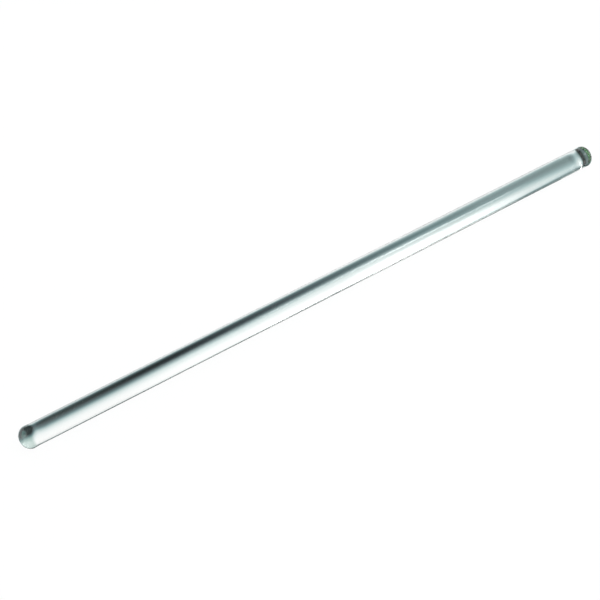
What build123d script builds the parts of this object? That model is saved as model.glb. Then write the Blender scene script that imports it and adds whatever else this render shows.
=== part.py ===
from build123d import *
import os

# Glass stirring rod: one length of solid drawn rod, cut off and polished round at both ends in a flame.
# The rod lies along X, with its origin on the axis at mid-length. Sizes are in millimetres.

# Drawn rod
rod_length = 200.0  # tip to tip
rod_diameter = 6.8

# Polished ends: the softened glass gathers into a dome, and draws in to a faint waist behind it.
neck_run = 1.8  # dome's crest to waist
blend_run = 4.4  # waist to the untouched drawn surface

# Near end, at -X: a full dome on a low bead that stands proud of the rod.
near_dome_height = 2.85  # crest to tip
near_bead_diameter = 6.92
near_waist_diameter = 6.74
near_crest_share = 0.55  # how far the dome's curve runs on along the rod from its crest
near_tip_share = 0.55  # how far it runs out across the rod from its tip, and 0.55 in both is half an ellipse

# Far end, at +X: a blunter dome behind a deeper waist, no wider than the rod.
far_dome_height = 2.42
far_bead_diameter = 6.8
far_waist_diameter = 6.62
far_crest_share = 0.75
far_tip_share = 0.24

rod_radius = rod_diameter / 2
near_tip = -rod_length / 2
far_tip = rod_length / 2


def polished_end(tip, inward, dome_height, bead_radius, waist_radius, crest_share, tip_share):
    # Half profile of one end, drawn from the tip inwards. Returns where the drawn surface begins.
    crest = tip + inward * dome_height
    waist = crest + inward * neck_run
    shoulder = waist + inward * blend_run
    Bezier(
        (tip, 0),
        (tip, bead_radius * tip_share),
        (crest - inward * dome_height * crest_share, bead_radius),
        (crest, bead_radius),
    )
    Spline(
        (crest, bead_radius),
        (waist, waist_radius),
        (shoulder, rod_radius),
        tangents=[(inward, 0)] * 3,
    )
    return shoulder


with BuildPart() as stirring_rod:
    with BuildSketch(Plane.XY):
        with BuildLine():
            near_shoulder = polished_end(
                near_tip,
                1,
                near_dome_height,
                near_bead_diameter / 2,
                near_waist_diameter / 2,
                near_crest_share,
                near_tip_share,
            )
            far_shoulder = polished_end(
                far_tip,
                -1,
                far_dome_height,
                far_bead_diameter / 2,
                far_waist_diameter / 2,
                far_crest_share,
                far_tip_share,
            )
            Line((near_shoulder, rod_radius), (far_shoulder, rod_radius))
            Line((near_tip, 0), (far_tip, 0))
        make_face()
    revolve(axis=Axis.X)

stirring_rod.part.label = "stirring_rod"

os.makedirs("parts", exist_ok=True)
export_step(stirring_rod.part, "parts/stirring_rod.step")

print("straight drawn length", far_shoulder - near_shoulder)
print("volume", stirring_rod.part.volume)
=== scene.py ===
import math

import bpy
from mathutils import Euler, Matrix, Vector


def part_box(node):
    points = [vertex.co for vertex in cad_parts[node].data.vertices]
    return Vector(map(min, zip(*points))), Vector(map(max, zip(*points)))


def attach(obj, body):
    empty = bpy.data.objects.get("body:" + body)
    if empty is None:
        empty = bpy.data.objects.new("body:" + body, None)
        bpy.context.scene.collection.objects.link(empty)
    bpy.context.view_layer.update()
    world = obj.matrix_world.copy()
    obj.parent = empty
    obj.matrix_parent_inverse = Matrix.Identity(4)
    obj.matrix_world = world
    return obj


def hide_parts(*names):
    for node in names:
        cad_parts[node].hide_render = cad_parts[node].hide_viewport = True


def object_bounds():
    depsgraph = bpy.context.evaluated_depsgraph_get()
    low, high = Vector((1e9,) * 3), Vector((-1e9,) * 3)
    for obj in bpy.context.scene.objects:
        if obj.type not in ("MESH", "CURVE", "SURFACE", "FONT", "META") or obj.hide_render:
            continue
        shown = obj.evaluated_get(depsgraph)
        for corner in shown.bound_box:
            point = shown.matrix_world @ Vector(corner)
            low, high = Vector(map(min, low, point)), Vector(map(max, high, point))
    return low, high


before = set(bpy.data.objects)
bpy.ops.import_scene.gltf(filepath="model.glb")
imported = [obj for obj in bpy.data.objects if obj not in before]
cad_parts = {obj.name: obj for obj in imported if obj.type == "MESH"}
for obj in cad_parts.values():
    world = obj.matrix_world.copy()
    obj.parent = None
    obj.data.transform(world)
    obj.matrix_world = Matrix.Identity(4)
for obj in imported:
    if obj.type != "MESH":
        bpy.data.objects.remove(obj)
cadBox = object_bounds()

print("frame loaded:", sorted(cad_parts))


# helpers for meshes

def deselectAll():
    if bpy.context.object and bpy.context.object.mode != "OBJECT":
        bpy.ops.object.mode_set(mode="OBJECT")
    bpy.ops.object.select_all(action="DESELECT")


def applyPlace(piece):
    # the place goes into the mesh, and the object stays at the origin
    deselectAll()
    piece.select_set(True)
    bpy.context.view_layer.objects.active = piece
    bpy.ops.object.transform_apply(location=True, rotation=True, scale=True)


def laySheet(name, size, place, turn=(0, 0, 0)):
    # a flat sheet for the stage
    deselectAll()
    bpy.ops.mesh.primitive_plane_add(size=1, location=place, rotation=turn)
    sheet = bpy.context.object
    sheet.name = name
    sheet.scale = (*size, 1)
    applyPlace(sheet)
    return sheet


def selectRing(piece, x, reach):
    # picks the ring of vertices that stands at x along the rod
    bpy.ops.mesh.select_mode(type="VERT")
    bpy.ops.mesh.select_all(action="DESELECT")
    bpy.ops.object.mode_set(mode="OBJECT")
    for vertex in piece.data.vertices:
        vertex.select = abs(vertex.co.x - x) < reach
    bpy.ops.object.mode_set(mode="EDIT")


# helpers for materials

def newMaterial(name):
    material = bpy.data.materials.new(name)
    material.use_nodes = True
    return material, material.node_tree.nodes, material.node_tree.links


def newStageMaterial(name):
    # the stage has shaders of its own
    material, nodes, links = newMaterial(name)
    nodes.remove(nodes["Principled BSDF"])
    return material, nodes, links


def feed(links, socket, source):
    # links an output to the socket, or sets a plain value there
    if isinstance(source, bpy.types.NodeSocket):
        links.new(source, socket)
    else:
        socket.default_value = source


def mathOf(nodes, links, operation, first, second=None):
    node = nodes.new("ShaderNodeMath")
    node.operation = operation
    feed(links, node.inputs[0], first)
    if second is not None:
        feed(links, node.inputs[1], second)
    return node.outputs[0]


def rangeOf(nodes, links, value, fromEnds, toEnds=(0, 1), shape="LINEAR"):
    # takes a value from one range to another, and holds it there
    node = nodes.new("ShaderNodeMapRange")
    node.interpolation_type = shape
    node.inputs["From Min"].default_value = fromEnds[0]
    node.inputs["From Max"].default_value = fromEnds[1]
    node.inputs["To Min"].default_value = toEnds[0]
    node.inputs["To Max"].default_value = toEnds[1]
    links.new(value, node.inputs["Value"])
    return node.outputs["Result"]


def mixColours(nodes, links, blend, first, second, share=1):
    node = nodes.new("ShaderNodeMix")
    node.data_type = "RGBA"
    node.blend_type = blend
    feed(links, node.inputs["Factor"], share)
    feed(links, node.inputs["A"], first)
    feed(links, node.inputs["B"], second)
    return node.outputs["Result"]


def rampOver(nodes, links, value, stops):
    # a colour ramp over a value, with (place, grey or colour) stops in the value's own unit
    first, last = stops[0][0], stops[-1][0]
    ramp = nodes.new("ShaderNodeValToRGB")
    elements = ramp.color_ramp.elements
    while len(elements) < len(stops):
        elements.new(0.5)
    for element, (place, colour) in zip(elements, stops):
        element.position = (place - first) / (last - first)
        element.color = (*colour, 1) if isinstance(colour, tuple) else (colour, colour, colour, 1)
    links.new(rangeOf(nodes, links, value, (first, last)), ramp.inputs["Fac"])
    return ramp.outputs["Color"]


def rayMask(nodes, links, *kinds):
    # 1 for rays of these kinds, and 0 for all others
    path = nodes.new("ShaderNodeLightPath")
    mask = path.outputs[kinds[0]]
    for kind in kinds[1:]:
        mask = mathOf(nodes, links, "MAXIMUM", mask, path.outputs[kind])
    return mask


def axesOf(nodes, links, place):
    parts = nodes.new("ShaderNodeSeparateXYZ")
    links.new(place, parts.inputs[0])
    return parts.outputs


# the rod

rodForm = {
    "shankRadius": 0.0034,
    "neckRun": 0.0018,  # dome's crest to waist
    "blendRun": 0.0044,  # waist to drawn surface
    # each end: radius at its crest and waist, dome's height,
    # and how far the dome's curve runs on from crest and tip
    "nearEnd": {"crest": 0.00346, "waist": 0.00337, "dome": 0.00285, "crestRun": 0.55, "tipRun": 0.55},
    "farEnd": {"crest": 0.0034, "waist": 0.00331, "dome": 0.00242, "crestRun": 0.75, "tipRun": 0.24},
    "segments": 224,
    "domeRings": 26,
    "neckRings": 8,
    "shankRings": 46,
    "mergeGap": 1e-7,
}


def smoothStep(share):
    return share * share * (3 - 2 * share)


def endRings(end, tip, inward):
    # (x, radius) of each ring from the drawn surface out to the last ring before the tip
    crest = tip + inward * end["dome"]
    waist = crest + inward * rodForm["neckRun"]
    shoulder = waist + inward * rodForm["blendRun"]
    rings = []
    for start, stop, startRadius, stopRadius in (
        (shoulder, waist, rodForm["shankRadius"], end["waist"]),
        (waist, crest, end["waist"], end["crest"]),
    ):
        for step in range(1, rodForm["neckRings"] + 1):
            share = step / rodForm["neckRings"]
            radius = startRadius + (stopRadius - startRadius) * smoothStep(share)
            rings.append((start + (stop - start) * share, radius))
    for step in range(1, rodForm["domeRings"]):
        # a cubic curve from the crest to the tip
        share = step / rodForm["domeRings"]
        rest = 1 - share
        rise = 3 * rest * rest * share * end["crestRun"] + 3 * rest * share * share + share ** 3
        reach = rest ** 3 + 3 * rest * rest * share + 3 * rest * share * share * end["tipRun"]
        rings.append((crest - inward * end["dome"] * rise, end["crest"] * reach))
    return shoulder, rings


def pushRing(fromX, fromRadius, toX, toRadius):
    # extrudes the picked ring along the rod and scales it to its new radius
    bpy.ops.mesh.extrude_region_move(TRANSFORM_OT_translate={"value": (toX - fromX, 0, 0)})
    scale = toRadius / fromRadius
    bpy.ops.transform.resize(value=(1, scale, scale), center_override=(toX, 0, 0))


def makeRod():
    low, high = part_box("stirring_rod")
    nearShoulder, nearRings = endRings(rodForm["nearEnd"], low.x, 1)
    farShoulder, farRings = endRings(rodForm["farEnd"], high.x, -1)

    deselectAll()
    bpy.ops.mesh.primitive_cylinder_add(
        vertices=rodForm["segments"],
        radius=rodForm["shankRadius"],
        depth=farShoulder - nearShoulder,
        end_fill_type="NOTHING",
        location=((nearShoulder + farShoulder) / 2, 0, 0),
        rotation=(0, math.pi / 2, 0),
    )
    rod = bpy.context.object
    rod.name = "polishedRod"
    applyPlace(rod)

    bpy.ops.object.mode_set(mode="EDIT")
    reach = rodForm["blendRun"] / rodForm["neckRings"] / 4  # well within one step between rings
    for shoulder, tip, rings in ((nearShoulder, low.x, nearRings), (farShoulder, high.x, farRings)):
        selectRing(rod, shoulder, reach)
        x, radius = shoulder, rodForm["shankRadius"]
        for nextX, nextRadius in rings:
            pushRing(x, radius, nextX, nextRadius)
            x, radius = nextX, nextRadius
        bpy.ops.mesh.extrude_region_move(TRANSFORM_OT_translate={"value": (tip - x, 0, 0)})
        bpy.ops.mesh.merge(type="CENTER")

    # rings along the drawn length
    for step in range(1, rodForm["shankRings"]):
        x = nearShoulder + (farShoulder - nearShoulder) * step / rodForm["shankRings"]
        bpy.ops.mesh.select_all(action="SELECT")
        bpy.ops.mesh.bisect(plane_co=(x, 0, 0), plane_no=(1, 0, 0))
    bpy.ops.mesh.select_all(action="SELECT")
    bpy.ops.mesh.remove_doubles(threshold=rodForm["mergeGap"])
    bpy.ops.mesh.normals_make_consistent(inside=False)
    bpy.ops.object.mode_set(mode="OBJECT")
    bpy.ops.object.shade_smooth()
    print("rod modelled:", len(rod.data.polygons), "faces")
    return rod


# glass

glassLook = {
    "ior": 1.5,
    "tint": (0.45, 0.61, 0.44, 1.0),  # what the glass lets through, as its green ends show
    "density": 15.0,
    "roughness": (0.02, 0.09),  # wiped clean, to finger marks
    "marksScale": (90.0, 90.0, 90.0),  # finger marks, per metre
    "marksDetail": 3,
    "marksRange": (0.45, 0.75),  # noise between which the marks come up
    "linesScale": (25.0, 900.0, 900.0),  # fine lines that drawing leaves, long in X
    "linesDetail": 2,
    "linesHeight": 0.0000015,
    "pathBounces": 64,  # light runs the whole rod by bouncing inside it
}


def noiseOver(nodes, links, scale, detail):
    # noise on the piece's own coordinates
    place = nodes.new("ShaderNodeTexCoord")
    stretch = nodes.new("ShaderNodeMapping")
    stretch.inputs["Scale"].default_value = scale
    links.new(place.outputs["Object"], stretch.inputs["Vector"])
    noise = nodes.new("ShaderNodeTexNoise")
    noise.inputs["Scale"].default_value = 1
    noise.inputs["Detail"].default_value = detail
    links.new(stretch.outputs["Vector"], noise.inputs["Vector"])
    return noise.outputs["Fac"]


def makeGlass():
    glass, nodes, links = newMaterial("drawnGlass")
    shader = nodes["Principled BSDF"]
    shader.inputs["Base Color"].default_value = (1, 1, 1, 1)
    shader.inputs["Metallic"].default_value = 0
    shader.inputs["IOR"].default_value = glassLook["ior"]
    shader.inputs["Transmission Weight"].default_value = 1

    marks = noiseOver(nodes, links, glassLook["marksScale"], glassLook["marksDetail"])
    wiped = rangeOf(nodes, links, marks, glassLook["marksRange"], glassLook["roughness"])
    links.new(wiped, shader.inputs["Roughness"])

    bump = nodes.new("ShaderNodeBump")
    bump.inputs["Distance"].default_value = glassLook["linesHeight"]
    lines = noiseOver(nodes, links, glassLook["linesScale"], glassLook["linesDetail"])
    links.new(lines, bump.inputs["Height"])
    links.new(bump.outputs["Normal"], shader.inputs["Normal"])

    tint = nodes.new("ShaderNodeVolumeAbsorption")
    tint.inputs["Color"].default_value = glassLook["tint"]
    tint.inputs["Density"].default_value = glassLook["density"]
    links.new(tint.outputs["Volume"], nodes["Material Output"].inputs["Volume"])
    paths = bpy.context.scene.cycles
    paths.max_bounces = glassLook["pathBounces"]
    paths.glossy_bounces = glassLook["pathBounces"]
    paths.transmission_bounces = glassLook["pathBounces"]
    print("glass made")
    return glass


# floor

floorLook = {
    "size": (4.0, 4.0),
    "drop": 0.00366,  # just under the shadow strip
    "paper": (0.9, 0.9, 0.9, 1.0),
    "whiteShare": 0.95,  # the rest is left to show the shadow
}


def makeFloor():
    floor = laySheet("paleFloor", floorLook["size"], (0, 0, -floorLook["drop"]))
    paper, nodes, links = newStageMaterial("whitePaper")
    matt = nodes.new("ShaderNodeBsdfDiffuse")
    matt.inputs["Color"].default_value = floorLook["paper"]
    white = nodes.new("ShaderNodeEmission")
    rays = rayMask(nodes, links, "Is Glossy Ray", "Is Transmission Ray", "Is Camera Ray")
    share = mathOf(nodes, links, "MULTIPLY", rays, floorLook["whiteShare"])
    mix = nodes.new("ShaderNodeMixShader")
    links.new(share, mix.inputs["Fac"])
    links.new(matt.outputs[0], mix.inputs[1])
    links.new(white.outputs[0], mix.inputs[2])
    links.new(mix.outputs[0], nodes["Material Output"].inputs["Surface"])
    floor.data.materials.append(paper)
    print("floor laid")


# painted light and shade under the rod, as the glass shows it: a painted bright line where the rod would
# focus light, between two painted shadow strips, on a glowing strip that the camera doesn't see

mmPerMetre = 1000

# Places along and across are in millimetres from the middle of the rod. The colours across and the
# middle stretches are rounded results of a fit to the photograph's bands, and the ends were set one by one.
shadowLook = {
    "size": (0.21, 0.048),
    "heights": (-0.003465, -0.003645),  # under the near end and the far end
    # painted light across the line, from its middle outwards
    "across": (
        (0.9, 1.0),
        (1.25, (0.955, 0.98, 0.99)),
        (1.4, (0.825, 0.895, 0.905)),
        (1.5, (0.71, 0.78, 0.785)),
        (1.6, (0.57, 0.67, 0.67)),
        (1.7, (0.345, 0.46, 0.475)),
        (1.8, (0.145, 0.22, 0.23)),
        (1.9, (0.06, 0.08, 0.09)),
        (1.97, 0.0),
    ),
    "outside": ((8.5, 0.0), (15.0, 1.0)),  # the shadow's soft outer edge
    "fade": ((-97.0, (0.6, 0.7, 0.67)), (-96.2, 1.0)),  # the line dies away under the near tip
    # how much painted light the painted shadow strips get: near end, middle, far end
    "shade": (
        ((-97.5, 0.05), (-96.6, 0.045), (-96.0, 0.035), (-94.8, 0.015)),
        (
            (-94.0, 0.02),
            (-92.0, 0.065),
            (-85.0, 0.055),
            (-50.0, 0.005),
            (40.0, 0.015),
            (60.0, 0.21),
            (75.0, 0.247),
            (93.0, 0.3),
        ),
        (
            (93.0, 0.3),
            (94.2, 0.23),
            (95.0, 0.24),
            (95.7, 0.3),
            (96.3, 0.28),
            (96.9, 0.1),
            (97.4, 0.2),
            (97.8, 0.02),
            (98.35, 0.0),
            (98.9, 0.16),
            (99.2, 0.25),
            (100.0, 1.0),
        ),
    ),
    "shadeTint": (0.74, 1.0, 1.01, 1.0),
    "glow": 1.06,
    # how much narrower the line gets, in millimetres: near end, middle, far end
    "narrow": (
        ((-97.0, 0.5), (-96.6, 0.52), (-96.0, 0.44), (-95.4, 0.33), (-94.8, 0.25)),
        (
            (-94.0, 0.27),
            (-92.0, 0.33),
            (-60.0, 0.323),
            (0.0, 0.292),
            (40.0, 0.267),
            (60.0, 0.379),
            (75.0, 0.443),
            (93.0, 0.55),
        ),
        (
            (93.0, 0.55),
            (94.2, 0.525),
            (95.0, 0.47),
            (95.7, 0.37),
            (96.3, 0.34),
            (96.9, 0.37),
            (97.5, 0.6),
            (98.0, 1.83),
            (99.2, 1.7),
            (100.0, 0.95),
        ),
    ),
}


def rampsAlong(nodes, links, along, stretches):
    # one ramp for each stretch of the rod, so that the short ones at its ends stay sharp
    colour = rampOver(nodes, links, along, stretches[0])
    for stops in stretches[1:]:
        begun = mathOf(nodes, links, "GREATER_THAN", along, stops[0][0])
        colour = mixColours(nodes, links, "MIX", colour, rampOver(nodes, links, along, stops), begun)
    return colour


def makeShadow():
    near, far = shadowLook["heights"]
    low, high = cadBox
    slope = math.atan2(near - far, high.x - low.x)
    strip = laySheet("rodShadow", shadowLook["size"], (0, 0, (near + far) / 2), (0, slope, 0))
    dark, nodes, links = newStageMaterial("shadowUnderRod")

    place = nodes.new("ShaderNodeTexCoord")
    axes = axesOf(nodes, links, place.outputs["Object"])
    along = mathOf(nodes, links, "MULTIPLY", axes["X"], mmPerMetre)
    side = mathOf(nodes, links, "ABSOLUTE", axes["Y"])
    outwards = mathOf(nodes, links, "MULTIPLY", side, mmPerMetre)

    narrow = rampsAlong(nodes, links, along, shadowLook["narrow"])
    reach = mathOf(nodes, links, "ADD", outwards, narrow)
    across = rampOver(nodes, links, reach, shadowLook["across"])
    fade = rampOver(nodes, links, along, shadowLook["fade"])
    line = mixColours(nodes, links, "MULTIPLY", across, fade)
    outside = rampOver(nodes, links, outwards, shadowLook["outside"])
    lit = mixColours(nodes, links, "LIGHTEN", line, outside)
    grey = rampsAlong(nodes, links, along, shadowLook["shade"])
    shade = mixColours(nodes, links, "MULTIPLY", grey, shadowLook["shadeTint"])

    # the strip glows with the painted shadow and light line, and only the glass sees it
    glow = nodes.new("ShaderNodeEmission")
    glow.inputs["Strength"].default_value = shadowLook["glow"]
    links.new(mixColours(nodes, links, "SCREEN", lit, shade), glow.inputs["Color"])
    links.new(glow.outputs[0], nodes["Material Output"].inputs["Surface"])
    strip.data.materials.append(dark)
    strip.visible_camera = False
    strip.visible_diffuse = False
    strip.visible_shadow = False
    print("shadow strip laid")


# room, with a dim ceiling and a window for the glass to mirror

roomLook = {
    "fill": 1.0,  # soft light on the floor from all round
    "ceilingEdges": (0.2, 0.6),  # sines of height between which the white backdrop ends
    "ceilingGlow": 0.08,
    "windowTowards": (-0.64, 0.47, 0.61),  # at the rod's near end
    "windowEdges": (0.7, 0.95),  # cosines of its outer and inner edge
    "windowGlow": 2.4,
    "windowColour": (0.58, 1.0, 0.93, 1.0),
}


def makeRoom():
    world = bpy.data.worlds.new("paleRoom")
    bpy.context.scene.world = world
    world.use_nodes = True
    nodes, links = world.node_tree.nodes, world.node_tree.links
    sky = nodes["Background"]
    towards = nodes.new("ShaderNodeTexCoord").outputs["Generated"]
    height = axesOf(nodes, links, towards)["Z"]
    ceiling = rangeOf(
        nodes, links, height, roomLook["ceilingEdges"], (1, roomLook["ceilingGlow"]), "SMOOTHSTEP"
    )

    near = nodes.new("ShaderNodeVectorMath")
    near.operation = "DOT_PRODUCT"
    near.inputs[1].default_value = Vector(roomLook["windowTowards"]).normalized()
    links.new(towards, near.inputs[0])
    pane = rangeOf(nodes, links, near.outputs["Value"], roomLook["windowEdges"], shape="SMOOTHSTEP")
    daylight = mixColours(nodes, links, "MIX", (1, 1, 1, 1), roomLook["windowColour"], pane)
    links.new(daylight, sky.inputs["Color"])
    shine = mathOf(nodes, links, "MULTIPLY", pane, roomLook["windowGlow"])

    level = nodes.new("ShaderNodeMix")
    level.inputs["A"].default_value = roomLook["fill"]
    links.new(mathOf(nodes, links, "ADD", ceiling, shine), level.inputs["B"])
    links.new(rayMask(nodes, links, "Is Glossy Ray", "Is Transmission Ray"), level.inputs["Factor"])
    links.new(level.outputs["Result"], sky.inputs["Strength"])
    print("room lit")


# softboxes over the rod

softboxLook = {
    "panel": {"middle": (0.083, -0.06, 0.4), "size": (0.268, 0.446), "edge": 0.06, "glow": 1.83},
    "tube": {"middle": (0.2, -0.039, 0.395), "size": (0.156, 0.14), "edge": 0.034, "glow": 5.76},
    "line": {"middle": (0.125, 0.003, 0.39), "size": (0.17, 0.07), "edge": 0.025, "glow": 5.5},
}


def makeSoftEdge():
    # node group that goes from 1 to 0 over the soft edge of a softbox
    group = bpy.data.node_groups.new("softEdge", "ShaderNodeTree")
    for socket in ("Place", "Middle", "Half Width", "Edge"):
        group.interface.new_socket(socket, in_out="INPUT", socket_type="NodeSocketFloat")
    group.interface.new_socket("Share", in_out="OUTPUT", socket_type="NodeSocketFloat")
    nodes, links = group.nodes, group.links
    given = nodes.new("NodeGroupInput").outputs
    away = mathOf(nodes, links, "SUBTRACT", given["Place"], given["Middle"])
    side = mathOf(nodes, links, "ABSOLUTE", away)
    left = mathOf(nodes, links, "SUBTRACT", given["Half Width"], side)
    share = rangeOf(nodes, links, mathOf(nodes, links, "DIVIDE", left, given["Edge"]), (0, 1))
    links.new(share, nodes.new("NodeGroupOutput").inputs["Share"])
    return group


def makeSoftbox(name, look, softEdge):
    box = laySheet(name + "Softbox", look["size"], look["middle"])
    cloth, nodes, links = newStageMaterial(name + "Glow")
    place = nodes.new("ShaderNodeTexCoord")
    axes = axesOf(nodes, links, place.outputs["Object"])
    fades = []
    for axis, middle, width in zip("XY", look["middle"], look["size"]):
        fade = nodes.new("ShaderNodeGroup")
        fade.node_tree = softEdge
        fade.inputs["Middle"].default_value = middle
        fade.inputs["Half Width"].default_value = width / 2
        fade.inputs["Edge"].default_value = look["edge"]
        links.new(axes[axis], fade.inputs["Place"])
        fades.append(fade.outputs["Share"])
    glow = nodes.new("ShaderNodeEmission")
    glow.inputs["Strength"].default_value = look["glow"]
    links.new(mathOf(nodes, links, "MULTIPLY", *fades), glow.inputs["Color"])
    # the cloth lets through what is behind it
    clear = nodes.new("ShaderNodeBsdfTransparent")
    both = nodes.new("ShaderNodeAddShader")
    links.new(glow.outputs[0], both.inputs[0])
    links.new(clear.outputs[0], both.inputs[1])
    links.new(both.outputs[0], nodes["Material Output"].inputs["Surface"])
    box.data.materials.append(cloth)
    box.visible_camera = False
    print("softbox hung:", name)


# card behind the rod, which darkens what the glass mirrors and bends on that side

cardLook = {
    "place": (0.0025, 0.04),
    "size": (0.215, 0.026),  # length and height
    "tilt": 0.03,
    "colour": (0.01, 0.03, 0.03, 1.0),
    "roughness": 0.9,
}


def makeCard():
    middle = (*cardLook["place"], cardLook["size"][1] / 2 - floorLook["drop"])
    card = laySheet("backCard", cardLook["size"], middle, (math.pi / 2, cardLook["tilt"], 0))
    paper, nodes, links = newMaterial("backCardPaper")
    shader = nodes["Principled BSDF"]
    shader.inputs["Base Color"].default_value = cardLook["colour"]
    shader.inputs["Roughness"].default_value = cardLook["roughness"]
    shader.inputs["Specular IOR Level"].default_value = 0
    card.data.materials.append(paper)
    card.visible_camera = False
    card.visible_diffuse = False
    card.visible_shadow = False
    print("card stood up")


# camera

cameraPlace = {
    "azimuth": -35.692,
    "elevation": 66.334,
    "roll": 6.48,
    "distance": 0.32185,
    "target": (-0.00876, -0.000073, 0.000078),
    "lens": 63.835,
    "sensorWidth": 36,
    "clipStart": 0.01,
}


def makeCamera():
    azimuth = math.radians(cameraPlace["azimuth"])
    elevation = math.radians(cameraPlace["elevation"])
    back = Vector((
        math.sin(azimuth) * math.cos(elevation),
        -math.cos(azimuth) * math.cos(elevation),
        math.sin(elevation),
    ))
    level = Euler((math.pi / 2 - elevation, 0, azimuth)).to_matrix()
    rolled = level @ Matrix.Rotation(math.radians(cameraPlace["roll"]), 3, "Z")
    deselectAll()
    bpy.ops.object.camera_add(
        location=Vector(cameraPlace["target"]) + back * cameraPlace["distance"],
        rotation=rolled.to_euler(),
    )
    camera = bpy.context.object
    camera.name = "benchCamera"
    camera.data.lens = cameraPlace["lens"]
    camera.data.sensor_width = cameraPlace["sensorWidth"]
    camera.data.clip_start = cameraPlace["clipStart"]
    bpy.context.scene.camera = camera
    print("camera set")


rod = makeRod()
rod.data.materials.append(makeGlass())
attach(rod, "root")
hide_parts("stirring_rod")
makeFloor()
makeShadow()
makeRoom()
softEdge = makeSoftEdge()
for name, look in softboxLook.items():
    makeSoftbox(name, look, softEdge)
makeCard()
makeCamera()
bpy.context.scene.view_settings.view_transform = "Standard"
